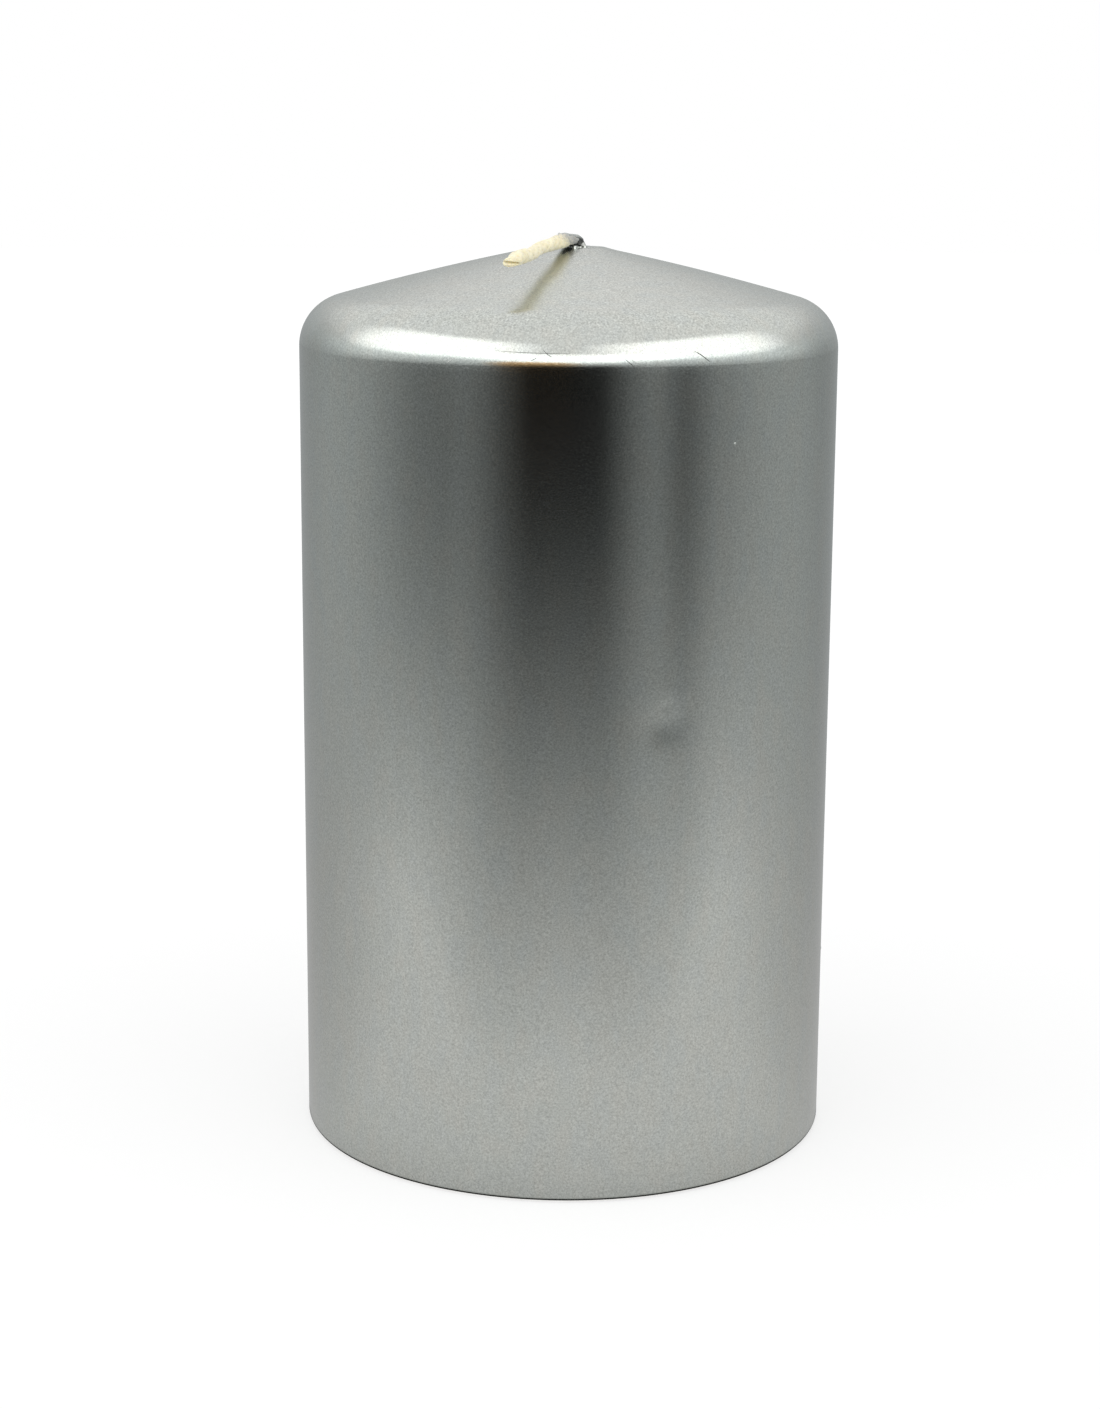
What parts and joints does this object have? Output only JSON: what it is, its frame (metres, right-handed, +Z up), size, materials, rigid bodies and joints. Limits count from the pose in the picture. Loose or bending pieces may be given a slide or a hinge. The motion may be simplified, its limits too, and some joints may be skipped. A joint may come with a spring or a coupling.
{
  "type": "pillar candle",
  "caption": "Silver-lacquered pillar candle with a low conical crown and a cotton wick folded over towards the front.",
  "frame": {"origin": "centre of the base, on the surface that the candle stands on", "axes": "+Z up along the candle's axis, -Y towards the front, where the wick leans, and +X to the viewer's right"},
  "size_m": [0.07, 0.07, 0.1197],
  "materials": {
    "silver_lacquer": "satin",
    "jacket_wax": "matte",
    "core_wax": "matte",
    "cotton_wick": "matte",
    "tinplate": "satin"
  },
  "bodies": {
    "candle": {"wax_core": "core_wax", "wax_jacket": "jacket_wax", "lacquer_coat": "silver_lacquer", "lacquer_bead": "silver_lacquer", "wick_sustainer": "tinplate", "wick_stem": "cotton_wick"},
    "wick_free_end": {"wick_end": "cotton_wick", "wick_sleeve": "silver_lacquer"}
  },
  "joints": [
    {"name": "wick_bend", "type": "hinge", "parent": "candle", "child": "wick_free_end", "pos_m": [0.00091, -0.0003, 0.11847], "axis": [-0.9537, 0.3007, 0], "range_deg": [0, 95.2]}
  ]
}
